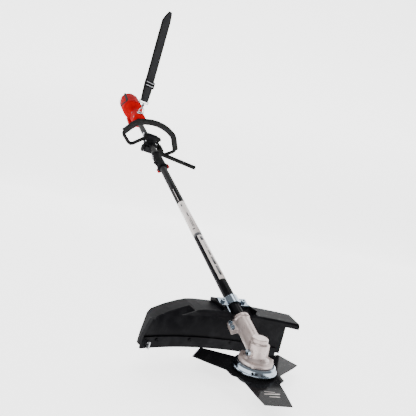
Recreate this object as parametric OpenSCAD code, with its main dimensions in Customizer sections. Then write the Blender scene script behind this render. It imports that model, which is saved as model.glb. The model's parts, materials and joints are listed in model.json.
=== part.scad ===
// Shaft-driven brush cutter with a top motor, a loop handle and a shoulder sling.
// Working frame: the cutting blade lies in the plane z = 0 with its spindle on the Z axis, and the
// straight shaft climbs towards +X. The whole machine is then moved so that the origin is the top of
// the sling, the point it hangs from.

/* [Blade] */
// Tip diameter of the three-tooth blade
blade_d = 255; // [230:1:255]
// Blade plate thickness
blade_t = 1.6; // [1.2:0.1:3]
// Bore of the blade
blade_bore_d = 25.4; // [20:0.1:25.4]
// Diameter of the left-hand spindle thread
thread_d = 10; // [8:1:10]
// Length of spindle thread left free below the nut
thread_free = 10; // [6:1:16]

/* [Shaft] */
// Outer diameter of the shaft tube
tube_d = 26; // [24:0.5:28]
// Wall of the shaft tube
tube_wall = 1.5; // [1.2:0.1:2]
// Slope of the shaft above the blade plane, degrees
shaft_tilt = 23.3; // [20:0.1:30]
// Height of the shaft axis over the blade plane, at the spindle
shaft_h = 40; // [38:1:42]
// Top end of the lower tube, along the shaft
lower_tube_end = 955; // [900:5:1000]
// Top end of the upper tube, along the shaft
upper_tube_end = 1520; // [1500:5:1540]

/* [Handles] */
// Place of the loop handle along the shaft
loop_s = 1150; // [1130:5:1200]
// Diameter of the loop rod
loop_rod_d = 15; // [12:1:15]
// Diameter of the foam grip
loop_grip_d = 26; // [22:1:30]
// Roll of the loop about the shaft, degrees
loop_roll = 5.5; // [0:0.5:8]

/* [Motor housing] */
// Front face of the housing along the shaft
nose_s = 1432; // [1425:1:1440]
// Front of the motor barrel along the shaft
barrel_s = 1622; // [1615:1:1630]
// Radius of the motor barrel
barrel_r = 52; // [50:1:56]
// Wall of the moulded housing
shell_t = 2.8; // [2.5:0.1:3.2]

/* [Sling] */
// Length of the sling from its eye to the top
sling_l = 516; // [500:1:560]
// Lean of the sling from plumb, degrees
sling_lean = 4.5; // [0:0.5:8]
// Width of the webbing
web_w = 40; // [38:1:42]

/* [Hidden] */
$fn = 48;

tube_r = tube_d / 2;
fit_gap = 0.05;

// Spindle stack, heights over the blade plane
spindle_r = 6;
thread_r = thread_d / 2;
washer_t = 4.2;
cup_t = 2;
nut_h = 7;
stack_low = -blade_t / 2 - washer_t - cup_t - nut_h;
spindle_low = stack_low - thread_free;
adapter_t = 4;
cover_z = 16.5;
cover_screw_r = 29.5;
case_z = 18;
low_bearing_z = 19;
gear_top_z = 60;
cap_top_z = 69;
boss_r = 19.5;
lock_a = 142;
lock_z = 11.2;
lock_r = 2.6;
plug_s = -3;
ear_a = -25;
ear_y = 27.5;
ear_s = [67, 79];

// Bevel pair: pitch cones meet where the shaft axis crosses the spindle axis
gear_teeth = 19;
pinion_teeth = 14;
shaft_angle = 90 - shaft_tilt;
pinion_pitch = atan(sin(shaft_angle) / (gear_teeth / pinion_teeth + cos(shaft_angle)));
gear_pitch = shaft_angle - pinion_pitch;
cone_l = 22.2;
face_w = 6;
addendum = 2.6;
dedendum = 4.8;

// Neck, tubes and drive shafts, places along the shaft
neck_r = 18.5;
neck_end = 90;
lower_tube_start = 46;
drive_r = 3.5;
socket_s = 918;
socket_l = 40;
upper_tube_start = 960;
coupler_s0 = 885;
coupler_s1 = 1005;
coupler_r = 18;
coupler_turn = 137;
knob_s = 935;

// Guard: a wall swept about a far centre, with a roof towards the blade
guard_c = [-429, 25];
guard_r = 580;
guard_t = 3;
guard_roof = 88;
guard_low = -12;
guard_roof_w = 70;
guard_end_w = 40;
guard_slope = 4;
strip_screw_a = [-14.6, -5.3, 5.7, 14.4];
guard_a0 = -18.6;
guard_a1 = 19.2;
bracket_s = 140;
bracket_l = 24;

// Loop handle outline, half of it, in the plane across the shaft: [sideways, upwards]
pivot_n = 26;
barrier_r = 9.5;
eye_y = 28.75;
eye_w = 14.5;
rod_low = [78, -38];
rod_corner = [127, 3.4];
grip_top = 90;
arc_big = 160;
arc_big_a = 30;
arc_small = 45;
arc_small_a = 28;
grip_slope = arc_big_a + arc_small_a;
grip_knee = [arc_big * sin(arc_big_a), grip_top - arc_big * (1 - cos(arc_big_a))];
grip_hip = grip_knee + arc_small * [sin(grip_slope) - sin(arc_big_a), cos(grip_slope) - cos(arc_big_a)];

// Sling: hung from the eye on the housing, in the plane that faces the user's front left
eye_s = 1445;
eye_n = 44;
sling_az = -116;
sling_turn = 35;
hook_h = 57;
hook_up = 9.7;
ply_gap = 16;
web_t = 2.2;
buckle_z = 144;
sling_eye = [eye_s * cos(shaft_tilt) - eye_n * sin(shaft_tilt), 0,
    shaft_h + eye_s * sin(shaft_tilt) + eye_n * cos(shaft_tilt)];
sling_dir = [sin(sling_lean) * cos(sling_az), sin(sling_lean) * sin(sling_az), cos(sling_lean)];
sling_top = sling_eye + sling_l * sling_dir;

// ---- frames -------------------------------------------------------------

// Machine frame: blade plane at z = 0, spindle on the Z axis
module machine() translate(-sling_top) children();

// Shaft frame: x along the shaft from the spindle, y to the user's right, z square to the shaft
module on_shaft(s = 0)
    machine() translate([0, 0, shaft_h]) rotate([0, -shaft_tilt, 0]) translate([s, 0, 0]) children();

// Loop frame: the shaft frame at the loop, rolled with it
module on_loop() on_shaft(loop_s) rotate([loop_roll, 0, 0]) children();

// Sling frame: z up along the sling from its eye, x across the view of the user's front left
module on_sling(turn = 0)
    machine() translate(sling_eye) rotate([0, 0, sling_az]) rotate([0, sling_lean, 0])
        rotate([0, 0, turn]) children();

// Guard frame: tilted about the X axis
module on_guard() machine() rotate([guard_slope, 0, 0]) children();

// ---- helpers ------------------------------------------------------------

module bar(r, l) rotate([0, 90, 0]) cylinder(r = r, h = l);

module tube(r_out, r_in, l)
    rotate([0, 90, 0]) difference() {
        cylinder(r = r_out, h = l);
        translate([0, 0, -1]) cylinder(r = r_in, h = l + 2);
    }

module ring(r_out, r_in, h)
    difference() {
        cylinder(r = r_out, h = h);
        translate([0, 0, -1]) cylinder(r = r_in, h = h + 2);
    }

// Round rod from a to b, points [x, y, z]
module seg(a, b, r) {
    v = b - a;
    l = norm(v);
    translate(a) rotate([0, acos(v[2] / l), atan2(v[1], v[0])]) rotate([0, 0, 37]) cylinder(r = r, h = l);
}

// Cap screw with its head at z = 0 and up, its shank below
module screw(r, l, head_r, head_h) {
    translate([0, 0, -l]) cylinder(r = r, h = l);
    difference() {
        cylinder(r = head_r, h = head_h);
        translate([0, 0, head_h / 2]) cylinder(r = head_r * 0.55, h = head_h, $fn = 6);
    }
}

module box2(w, h, r) {
    for (x = [-1, 1], y = [-1, 1]) translate([x * (w / 2 - r), y * (h / 2 - r)]) circle(r);
    square([w - 2 * r, h], center = true);
    square([w, h - 2 * r], center = true);
}

// Ball bearing on the Z axis: outer ring, inner ring and balls
module bearing(r_in, r_out, h, balls) {
    mid = (r_in + r_out) / 2;
    ball = (r_out - r_in) * 0.26;
    difference() {
        ring(r_out, mid + ball * 0.6, h);
        translate([0, 0, h / 2]) rotate_extrude() translate([mid, 0]) circle(ball + 0.15);
    }
    difference() {
        ring(mid - ball * 0.6, r_in + 0.03, h);
        translate([0, 0, h / 2]) rotate_extrude() translate([mid, 0]) circle(ball + 0.15);
    }
    for (i = [0 : balls - 1]) rotate([0, 0, i * 360 / balls]) translate([mid, 0, h / 2]) sphere(ball);
}

// Bevel gear teeth: a cone with its point at the origin that opens along +Z
module bevel(pitch, teeth) {
    heel = cone_l * cos(pitch);
    toe = (cone_l - face_w) * cos(pitch);
    tip_r = heel * tan(pitch + addendum);
    root_r = heel * tan(pitch - dedendum);
    step = 360 / teeth;
    pts = [for (i = [0 : teeth - 1], k = [[-0.28, root_r], [-0.1, tip_r], [0.1, tip_r], [0.28, root_r]])
        k[1] * [cos((i + k[0]) * step), sin((i + k[0]) * step)]];
    translate([0, 0, heel]) mirror([0, 0, 1])
        linear_extrude(height = heel - toe, scale = toe / heel) polygon(pts);
}

// ---- blade and spindle --------------------------------------------------

// One third of the blade: an arm with a square tip and a rounded notch each side
function polar(r, a) = r * [cos(a), sin(a)];
blade_outline = [for (k = [0 : 2]) each [
    polar(126.5, 276.5 - 120 * k), polar(104, 271 - 120 * k), polar(57, 244.7 - 120 * k),
    polar(56, 238 - 120 * k), polar(63, 225 - 120 * k), polar(61.4, 205.3 - 120 * k),
    polar(88, 190.5 - 120 * k), polar(127.5, 180.5 - 120 * k)]];

module blade()
    color("#1b1b1d") machine() translate([0, 0, -blade_t / 2]) difference() {
        linear_extrude(blade_t) polygon(blade_outline);
        translate([0, 0, -1]) cylinder(r = blade_bore_d / 2, h = blade_t + 2);
    }

// Upper blade flange: its rim has four holes for the locking pin
module blade_adapter()
    color("#8d9297") machine() difference() {
        union() {
            translate([0, 0, -blade_t / 2 - 1]) cylinder(r = blade_bore_d / 2 - 0.1, h = blade_t + 1.2);
            translate([0, 0, blade_t / 2]) cylinder(r = 39.6, h = adapter_t);
            translate([0, 0, blade_t / 2]) ring(39.6, 35, 13.4);
            translate([0, 0, blade_t / 2]) cylinder(r = 13, h = 12.5);
        }
        translate([0, 0, -9]) cylinder(r = spindle_r, h = 40);
        for (a = [0 : 90 : 270]) rotate([0, 0, lock_a + a]) translate([28, 0, lock_z])
            rotate([0, 90, 0]) cylinder(r = lock_r + 0.1, h = 20);
    }

module clamp_washer()
    color("#74787c") machine() translate([0, 0, -blade_t / 2 - washer_t]) difference() {
        cylinder(r = 24, h = washer_t);
        translate([0, 0, washer_t - 1.6]) cylinder(r = blade_bore_d / 2 + 0.2, h = 3);
        translate([0, 0, -1]) cylinder(r = thread_r, h = washer_t + 2);
    }

module stabiliser_cup()
    color("#9aa0a4") machine() translate([0, 0, -blade_t / 2 - washer_t]) mirror([0, 0, 1]) difference() {
        rotate_extrude() polygon([[thread_r, 0], [20, 0], [28, 9], [33, 11], [33, 12.2], [27.2, 10.4],
            [19, cup_t], [thread_r, cup_t]]);
        for (a = [0 : 60 : 300]) rotate([0, 0, a]) translate([14, 0, -1]) cylinder(r = 2, h = 5);
    }

module blade_nut()
    color("#5e6266") machine() translate([0, 0, stack_low]) difference() {
        union() {
            cylinder(r = 9.8, h = nut_h, $fn = 6);
            translate([0, 0, nut_h - 1.6]) cylinder(r = 11.5, h = 1.6);
        }
        translate([0, 0, -1]) cylinder(r = thread_r, h = nut_h + 2);
    }

module output_spindle()
    color("#b4b8bb") machine() {
        translate([0, 0, spindle_low]) cylinder(r = thread_r, h = thread_free - 0.5);
        translate([0, 0, spindle_low + 1]) cylinder(r = thread_r - 0.7, h = -spindle_low - 2);
        translate([0, 0, -2]) cylinder(r = spindle_r, h = gear_top_z + 2);
        translate([0, 0, gear_top_z]) cylinder(r = 4.5, h = 6.3);
    }

module driven_bevel_gear()
    color("#6b6f73") machine() difference() {
        union() {
            intersection() {
                translate([0, 0, shaft_h]) bevel(gear_pitch, gear_teeth);
                translate([0, 0, shaft_h]) cylinder(r = 15.2, h = 20);
            }
            translate([0, 0, shaft_h + cone_l * cos(gear_pitch)])
                cylinder(r = 12.4, h = gear_top_z - shaft_h - cone_l * cos(gear_pitch));
        }
        cylinder(r = spindle_r, h = 80);
    }

module spindle_bearings()
    color("#c3c7ca") machine() {
        translate([0, 0, low_bearing_z]) bearing(spindle_r, 16, 10, 8);
        translate([0, 0, gear_top_z + 0.3]) bearing(4.5, 11, 6, 9);
    }

module spindle_seal() color("#2b2b2b") machine() translate([0, 0, 14.6]) ring(16, spindle_r + 0.03, 4.2);

// ---- gear head ----------------------------------------------------------

module gear_case()
    color("#c9bdb7") difference() {
        union() {
            machine() {
                translate([0, 0, case_z]) cylinder(r = 36, h = 8);
                for (a = [20, 140, 260]) rotate([0, 0, a]) translate([33, 0, case_z]) cylinder(r = 6, h = 8);
                translate([0, 0, 14]) cylinder(r = 20, h = 5);
                translate([0, 0, case_z + 8]) cylinder(r1 = 27, r2 = boss_r, h = 6);
                translate([0, 0, case_z + 8]) cylinder(r = boss_r, h = 32);
                translate([0, 0, 58]) cylinder(r1 = boss_r, r2 = 17, h = 3);
                translate([0, 0, 61]) cylinder(r = 17, h = cap_top_z - 61);
                rotate([0, 0, 250]) translate([boss_r - 2, -2.5, case_z + 6]) cube([5.5, 5, 33]);
            }
            on_shaft(4) bar(neck_r, neck_end - 8);
            on_shaft(neck_end - 8) bar(neck_r + 1.8, 8);
            on_shaft(61) rotate([ear_a, 0, 0]) translate([0, 14, -6.5]) cube([24, 19.5, 13]);
            on_shaft(plug_s) rotate([-90, 0, 0]) translate([0, 0, 16]) cylinder(r = 7.5, h = 5.5);
        }
        machine() {
            translate([0, 0, 13]) cylinder(r = 16, h = 16);
            translate([0, 0, 28.9]) cylinder(r = 15.6, h = gear_top_z - 28.6);
            translate([0, 0, gear_top_z]) cylinder(r = 11, h = 6.8);
            for (a = [20, 140, 260]) rotate([0, 0, a]) translate([cover_screw_r, 0, 12])
                cylinder(r = 2.5, h = 11);
        }
        on_shaft(8) bar(12.6, 18);
        on_shaft(25) bar(tube_r, 70);
        on_shaft(57) rotate([ear_a, 0, 0]) translate([0, 10, -1]) cube([40, 40, 2]);
        for (s = ear_s) on_shaft(s) rotate([ear_a, 0, 0]) translate([0, ear_y, -20]) cylinder(r = 3, h = 40);
        on_shaft(plug_s) rotate([-90, 0, 0]) translate([0, 0, 10]) cylinder(r = 4, h = 20);
    }

module dust_cover()
    color("#c6ccd2") machine() difference() {
        rotate_extrude() polygon([[20, cover_z], [38, cover_z], [41, 14.6], [41.6, 8], [46, 6.4],
            [46, 7.6], [43.2, 8.8], [42.6, 15.2], [39, case_z], [20, case_z]]);
        for (a = [20, 140, 260]) rotate([0, 0, a]) translate([cover_screw_r, 0, 12]) cylinder(r = 2.5, h = 11);
        rotate([0, 0, lock_a]) translate([36, 0, lock_z]) rotate([0, 90, 0]) cylinder(r = lock_r, h = 10);
    }

module cover_screws()
    color("#9a9ea2") machine() for (a = [20, 140, 260])
        rotate([0, 0, a]) translate([cover_screw_r, 0, cover_z]) mirror([0, 0, 1]) screw(2.5, 6, 4.2, 2.4);

module neck_clamp_screws()
    color("#b9bec2") for (s = ear_s) on_shaft(s) rotate([ear_a, 0, 0]) translate([0, ear_y, 6.5])
        screw(3, 13, 5, 5.5);

module grease_plug()
    color("#b9bec2") on_shaft(plug_s) rotate([-90, 0, 0]) translate([0, 0, 21.5]) {
        cylinder(r = 6.4, h = 5.5, $fn = 6);
        translate([0, 0, -5.5]) cylinder(r = 4, h = 5.5);
    }

module pinion_gear()
    color("#6b6f73") on_shaft(0) difference() {
        union() {
            rotate([0, 90, 0]) rotate([0, 0, 180 / pinion_teeth]) bevel(pinion_pitch, pinion_teeth);
            translate([19.5, 0, 0]) bar(8.5, 5.5);
            translate([24.8, 0, 0]) bar(5, 25);
        }
        translate([30, 0, 0]) bar(drive_r, 30);
    }

module pinion_bearings()
    color("#c3c7ca") for (s = [25.2, 33.8]) on_shaft(s) rotate([0, 90, 0]) bearing(5, tube_r, 8, 9);

// ---- shaft --------------------------------------------------------------

module lower_tube()
    color("#1d1d1f") on_shaft(lower_tube_start)
        tube(tube_r, tube_r - tube_wall, lower_tube_end - lower_tube_start);

module lower_drive_shaft()
    color("#9b9fa2") {
        on_shaft(30) bar(drive_r, 886);
        on_shaft(916) translate([0, -3, -3]) cube([36, 6, 6]);
    }

module shaft_bushes(places)
    color("#3a3a3c") for (s = places) on_shaft(s) tube(tube_r - tube_wall, drive_r + 0.06, 14);

module lower_shaft_bushes() shaft_bushes([150, 400, 650, 885]);

module upper_tube()
    color("#1d1d1f") on_shaft(upper_tube_start)
        tube(tube_r, tube_r - tube_wall, upper_tube_end - upper_tube_start);

module upper_drive_shaft()
    color("#9b9fa2") {
        on_shaft(socket_s) difference() {
            bar(6.5, socket_l);
            translate([-1, -3.2, -3.2]) cube([37, 6.4, 6.4]);
        }
        on_shaft(socket_s + socket_l) bar(drive_r, 638);
    }

module upper_shaft_bushes() shaft_bushes([965, 1200, 1480]);

// Split clamp that joins the two tubes
module coupler_body()
    color("#161617") on_shaft(0) difference() {
        union() {
            translate([coupler_s0, 0, 0]) bar(coupler_r, coupler_s1 - coupler_s0);
            translate([coupler_s0, 0, 0]) bar(coupler_r + 2, 9);
            translate([coupler_s1 - 9, 0, 0]) bar(coupler_r + 2, 9);
            translate([knob_s, 0, 0]) rotate([coupler_turn, 0, 0]) cylinder(r = 12, h = 22);
            translate([knob_s - 24, 12, -7]) cube([60, 9, 14]);
        }
        translate([coupler_s0 - 1, 0, 0]) bar(tube_r + fit_gap, upper_tube_start - coupler_s0 + 1);
        translate([upper_tube_start, 0, 0]) bar(tube_r, 90);
        translate([knob_s, 0, 0]) rotate([coupler_turn, 0, 0]) cylinder(r = 4.05, h = 40);
        translate([knob_s - 14, 0, 0]) rotate([-90, 0, 0]) cylinder(r = 3.6, h = 40);
        translate([knob_s + 26, 13.2, 0]) rotate([-90, 0, 0]) cylinder(r = 2.5, h = 20);
        translate([985, 14, 0]) rotate([-90, 0, 0]) cylinder(r = 2.5, h = 20);
    }

module coupler_screws()
    color("#a4a8ab") {
        on_shaft(knob_s + 26) translate([0, 21, 0]) rotate([-90, 0, 0]) screw(2.5, 7.5, 4.5, 6);
        on_shaft(985) translate([0, 18, 0]) rotate([-90, 0, 0]) screw(2.5, 3.8, 4.2, 3);
    }

// Red wing knob on a threaded stem
module coupler_knob()
    color("#c21824") on_shaft(knob_s) rotate([coupler_turn, 0, 0]) {
        translate([0, 0, 14]) cylinder(r = 4, h = 10);
        translate([0, 0, 22.5]) cylinder(r = 11, h = 13);
        translate([0, 0, 24.5]) linear_extrude(11) box2(22, 52, 9);
    }

module coupler_latch()
    color("#131314") on_shaft(knob_s - 14) rotate([-90, 0, 0]) {
        translate([0, 0, 13.6]) cylinder(r = 3.55, h = 9);
        translate([0, 0, 22.5]) cylinder(r = 5.5, h = 5);
    }

// ---- guard --------------------------------------------------------------

module bracket_half(t)
    intersection() {
        union() {
            bar(tube_r + 4, bracket_l);
            translate([0, -38, 0]) cube([bracket_l, 76, t]);
        }
        translate([-1, -50, 0]) cube([bracket_l + 2, 100, 50]);
    }

module guard_bolt_holes(h) for (y = [-27, 27]) translate([bracket_l / 2, y, -1]) cylinder(r = 3, h = h + 2);

module guard_bracket_upper()
    color("#c3ccd4") on_shaft(bracket_s - bracket_l / 2) difference() {
        bracket_half(4);
        translate([-1, 0, 0]) bar(tube_r, bracket_l + 2);
        guard_bolt_holes(9);
    }

module guard_bracket_lower()
    color("#c3ccd4") on_shaft(bracket_s - bracket_l / 2) mirror([0, 0, 1]) difference() {
        bracket_half(3);
        translate([-1, 0, 0]) bar(tube_r, bracket_l + 2);
        guard_bolt_holes(9);
    }

module guard_bolts()
    color("#aeb3b7") on_shaft(bracket_s) for (y = [-27, 27]) translate([0, y, 4]) {
        screw(3, 23, 5.4, 5);
        translate([0, 0, -22.1]) ring(5.4, 3, 5);
    }

// Wall and roof in one section, swept about the guard's far centre
module guard_sweep(profile)
    translate([guard_c[0], guard_c[1], 0]) rotate([0, 0, guard_a0])
        rotate_extrude(angle = guard_a1 - guard_a0, $fn = 96) polygon(profile);

module guard_section() {
    r = guard_r;
    t = guard_t;
    guard_sweep([[r, guard_low], [r + t, guard_low], [r + t, guard_roof - 6], [r + t - 6, guard_roof],
        [r - guard_roof_w, guard_roof], [r - guard_roof_w - 5, guard_roof - 4],
        [r - guard_roof_w - 5, guard_roof - 12], [r - guard_roof_w - 2, guard_roof - 12],
        [r - guard_roof_w - 2, guard_roof - 5], [r - guard_roof_w, guard_roof - t],
        [r - 4, guard_roof - t], [r, guard_roof - t - 4]]);
}

// Outer edge of the guard's sloped left end in the side view, and the same edge one wall inside
guard_edge = [[214, guard_low - 9], [213, 9], [208, 52], [201, 61], [172, 72], [122, 86.6], [100, guard_roof]];
guard_edge_in = [[211, guard_low - 9], [210, 9], [205.2, 50.6], [199.2, 58.4], [171, 69], [121.4, 83.6],
    [100, guard_roof - guard_t]];

// Prism of a side view, along X
module side_prism(points) rotate([90, 0, 90]) linear_extrude(400) polygon(points);

// Side view that trims the guard's wall and roof
module guard_trim() side_prism([[-200, guard_low - 9], each guard_edge, [-200, guard_roof]]);

// Flange that follows the sloped end, narrower than the roof
module guard_end()
    intersection() {
        guard_sweep([[guard_r - guard_end_w, guard_low], [guard_r + 1, guard_low],
            [guard_r + 1, guard_roof], [guard_r - guard_end_w, guard_roof]]);
        difference() {
            guard_trim();
            side_prism([[-200, guard_low - 10], [211, guard_low - 10], each guard_edge_in,
                [-200, guard_roof - guard_t]]);
        }
    }

module guard_shell()
    color("#17171a") difference() {
        union() {
            on_guard() {
                intersection() {
                    guard_section();
                    guard_trim();
                }
                guard_end();
            }
            intersection() {
                on_shaft(104) translate([0, -46, -13]) cube([60, 92, 34]);
                on_guard() translate([70, -60, 40]) cube([84, 120, guard_roof - 32]);
            }
        }
        on_shaft(90) translate([0, -42, -3.05]) cube([90, 84, 60]);
        on_shaft(60) bar(tube_r + 4.2, 130);
        on_shaft(40) bar(neck_r + 4, 52);
        on_shaft(55) rotate([ear_a, 0, 0]) translate([0, 0, -14]) cube([36, 40, 27]);
        on_shaft(bracket_s) for (y = [-27, 27]) translate([0, y, -40]) {
            cylinder(r = 3, h = 50);
            cylinder(r = 6.2, h = 26.9);
        }
    }

module guard_extension()
    color("#121214") on_guard() intersection() {
        translate([guard_c[0], guard_c[1], 0]) rotate([0, 0, -17.4]) rotate_extrude(angle = 35.6, $fn = 96)
            translate([guard_r - 5, guard_low - 12]) square([4.7, 24]);
        difference() {
            translate([50, -250, -60]) cube([200, 500, 120]);
            for (a = strip_screw_a) translate([guard_c[0], guard_c[1], guard_low + 5])
                rotate([0, 0, a]) rotate([0, 90, 0]) cylinder(r = 2, h = 700);
        }
    }

module line_cutter()
    color("#c9ced2") on_guard() translate([guard_c[0], guard_c[1], guard_low - 9]) rotate([0, 0, 17])
        difference() {
            translate([guard_r - 18, -1, 0]) cube([12.8, 2, 16]);
            translate([guard_r - 12, -2, 11]) rotate([-90, 0, 0]) cylinder(r = 1.6, h = 4);
        }

module extension_screws()
    color("#a9adb0") on_guard() for (a = strip_screw_a)
        translate([guard_c[0], guard_c[1], guard_low + 5]) rotate([0, 0, a])
            translate([guard_r - 5.2, 0, 0]) rotate([0, -90, 0]) screw(2, 4.9, 4, 2.4);

// ---- handles ------------------------------------------------------------

clamp_l = 56;
knob_x = -22;
knob_z = -25;

module clamp_half()
    intersection() {
        union() {
            translate([-clamp_l / 2, 0, 0]) bar(19, clamp_l);
            for (x = [-clamp_l / 2, 13.5]) translate([x, -31, 0]) cube([clamp_l / 2 - 13.5, 62, 6.5]);
        }
        translate([-50, -50, 0.1]) cube([100, 100, 60]);
    }

module clamp_holes()
    for (x = [-20, 20], y = [-25, 25]) translate([x, y, -12]) cylinder(r = 2.5, h = 30);

module handle_clamp_upper()
    color("#151516") on_loop() difference() {
        union() {
            clamp_half();
            translate([-14, -20.5, 12]) cube([28, 41, pivot_n - 12]);
            translate([0, -20.5, pivot_n]) rotate([-90, 0, 0]) cylinder(r = 14, h = 41);
        }
        translate([-50, 0, 0]) bar(tube_r, 100);
        clamp_holes();
        translate([0, -40, pivot_n]) rotate([-90, 0, 0]) cylinder(r = 4.05, h = 80);
    }

module handle_clamp_lower()
    color("#151516") on_loop() difference() {
        union() {
            mirror([0, 0, 1]) clamp_half();
            translate([knob_x - 15, -20, knob_z - 11]) cube([30, 40, -knob_z]);
        }
        translate([-50, 0, 0]) bar(tube_r, 100);
        clamp_holes();
        translate([knob_x, -40, knob_z]) rotate([-90, 0, 0]) cylinder(r = 4.05, h = 80);
    }

module handle_screws()
    color("#b7bbbe") on_loop() {
        for (x = [-20, 20], y = [-25, 25]) translate([x, y, 6.5]) screw(2.5, 13, 4.6, 4);
        translate([0, -40, pivot_n]) rotate([-90, 0, 0]) cylinder(r = 4, h = 80);
        for (m = [0, 1]) mirror([0, m, 0]) translate([0, eye_y + eye_w / 2 + 0.1, pivot_n])
            rotate([-90, 0, 0]) cylinder(r = 7.5, h = 6, $fn = 6);
    }

// Star knob at the user's right of the lower clamp
module handle_knob()
    color("#121213") on_loop() translate([knob_x, 0, knob_z]) rotate([-90, 0, 0]) {
        translate([0, 0, -24]) cylinder(r = 4, h = 46);
        translate([0, 0, -27.5]) cylinder(r = 7.5, h = 7, $fn = 6);
        translate([0, 0, 20.5]) cylinder(r = 13, h = 11);
        for (a = [0 : 60 : 300]) rotate([0, 0, a]) translate([12, 0, 21.5]) cylinder(r = 4.5, h = 9.5);
    }

function loop_pt(p, side) = [0, side * p[0], p[1]];

// Centre line of the arch, from the middle of its top down to one corner
arch_half = [
    for (a = [0 : 10 : arc_big_a]) [arc_big * sin(a), grip_top - arc_big * (1 - cos(a))],
    for (a = [arc_big_a + 14 : 14 : grip_slope])
        grip_knee + arc_small * [sin(a) - sin(arc_big_a), cos(a) - cos(arc_big_a)]];

// Short rods joined by balls that stand a hair proud of them
module chain(pts, r, side)
    for (i = [0 : len(pts) - 2]) {
        seg(loop_pt(pts[i], side), loop_pt(pts[i + 1], side), r);
        if (i > 0) translate(loop_pt(pts[i], side)) rotate([20, 35, 0]) sphere(r + 0.1);
    }

grip_end = rod_corner + 7 * [-cos(grip_slope), sin(grip_slope)];

// Corner of a bent rod as three points, cut back by d each way
function soft(a, b, c, d) = [
    b + d * (a - b) / norm(a - b),
    b + 0.29 * d * ((a - b) / norm(a - b) + (c - b) / norm(c - b)),
    b + d * (c - b) / norm(c - b)];

rod_end = [29, 13];
rod_half = [each arch_half, each soft(grip_hip, rod_corner, rod_low, 14),
    each soft(rod_corner, rod_low, rod_end, 14), rod_end];
rod_path = [for (i = [len(rod_half) - 1 : -1 : 1]) [-rod_half[i][0], rod_half[i][1]], each rod_half];

// Round rod swept along points in the plane x = 0, with mitred joints
module bent_rod(pts, r, sides) {
    last = len(pts) - 1;
    dirs = [for (i = [0 : last - 1]) (pts[i + 1] - pts[i]) / norm(pts[i + 1] - pts[i])];
    rings = [for (i = [0 : last])
        let (u = dirs[max(i - 1, 0)], v = dirs[min(i, last - 1)], w = (u + v) / norm(u + v),
            m = [-w[1], w[0]] / (w * v))
        for (k = [0 : sides - 1])
            [r * cos(k * 360 / sides), pts[i][0] + r * sin(k * 360 / sides) * m[0],
                pts[i][1] + r * sin(k * 360 / sides) * m[1]]];
    faces = [
        [for (k = [sides - 1 : -1 : 0]) k],
        [for (k = [0 : sides - 1]) last * sides + k],
        for (i = [0 : last - 1], k = [0 : sides - 1])
            let (a = i * sides + k, b = i * sides + (k + 1) % sides) each [
                [a, b, a + sides], [b, b + sides, a + sides]]];
    polyhedron(rings, faces);
}

module loop_rod()
    color("#1a1a1b") on_loop() difference() {
        union() {
            bent_rod(rod_path, loop_rod_d / 2, 16);
            for (m = [-1, 1]) translate([0, m * eye_y - eye_w / 2, pivot_n]) rotate([-90, 0, 0])
                cylinder(r = 11, h = eye_w);
        }
        translate([0, -60, pivot_n]) rotate([-90, 0, 0]) cylinder(r = 4.05, h = 120);
    }

module loop_grip()
    color("#1f1f20") on_loop() {
        for (m = [-1, 1]) chain([each arch_half, grip_end], loop_grip_d / 2, m);
        translate(loop_pt([0, grip_top], 1)) sphere(loop_grip_d / 2 + 0.1);
    }

// Barrier bar towards the user's left, clamped to the loop's left leg
module barrier_bar()
    color("#151516") on_loop() {
        ahead = -20;
        leg = rod_low - rod_end;
        leg_mid = rod_end + 0.44 * leg;
        start = [ahead, -leg_mid[0], leg_mid[1]];
        knee = [ahead, -70, -27];
        seg(start, knee, barrier_r);
        translate(knee) rotate([20, 35, 0]) sphere(barrier_r + 0.1);
        seg(knee, [ahead, -243, -38], barrier_r);
        difference() {
            translate([ahead / 2, -leg_mid[0], leg_mid[1]]) rotate([atan(-leg[1] / leg[0]), 0, 0])
                cube([44, 18, 24], center = true);
            seg(loop_pt(rod_end, -1), loop_pt(rod_low, -1), loop_rod_d / 2);
        }
    }

// ---- motor housing ------------------------------------------------------

bar_r = 22;
d_bar_r = 13;
trigger_s = 1576;
trigger_n = -14;
d_front = [nose_s + 26, -20];
d_corner = [1552, -69];
d_back = [1664, -60];

// Handle bar, barrel and rounded end in one turned shell, with the motor's bearing walls
module housing_barrel() {
    r = barrel_r;
    t = shell_t;
    rotate([0, 90, 0]) rotate([0, 0, 30]) rotate_extrude() polygon([[bar_r - t, nose_s + 80], [bar_r, nose_s + 80],
        [bar_r, barrel_s - 26], [bar_r + 4, barrel_s - 16], [r - 5, barrel_s - 4], [r, barrel_s + 6],
        [r, 1768], for (a = [15 : 15 : 75]) [r - 26 + 26 * cos(a), 1768 + 26 * sin(a)], [26, 1794],
        [13, 1794], [13, 1794 - t], [24, 1794 - t], [r - 14, 1785], [r - t, 1772],
        [11, 1772], [11, 1764], [r - t, 1764], [r - t, barrel_s + 8], [r - t - 5, barrel_s],
        [bar_r, barrel_s - 4], [11, barrel_s - 4], [11, barrel_s - 12], [bar_r - t, barrel_s - 12]]);
}

// Block at the front that holds the tube
module housing_nose() translate([nose_s, 0, 4]) rotate([90, 0, 90]) difference() {
    linear_extrude(86) box2(58, 68, 20);
    translate([0, 0, 12]) linear_extrude(70) box2(52, 62, 17);
    translate([0, -4, -1]) cylinder(r = tube_r, h = 20);
    translate([0, -4, 80]) cylinder(r = 20.4, h = 20);
}

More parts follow.
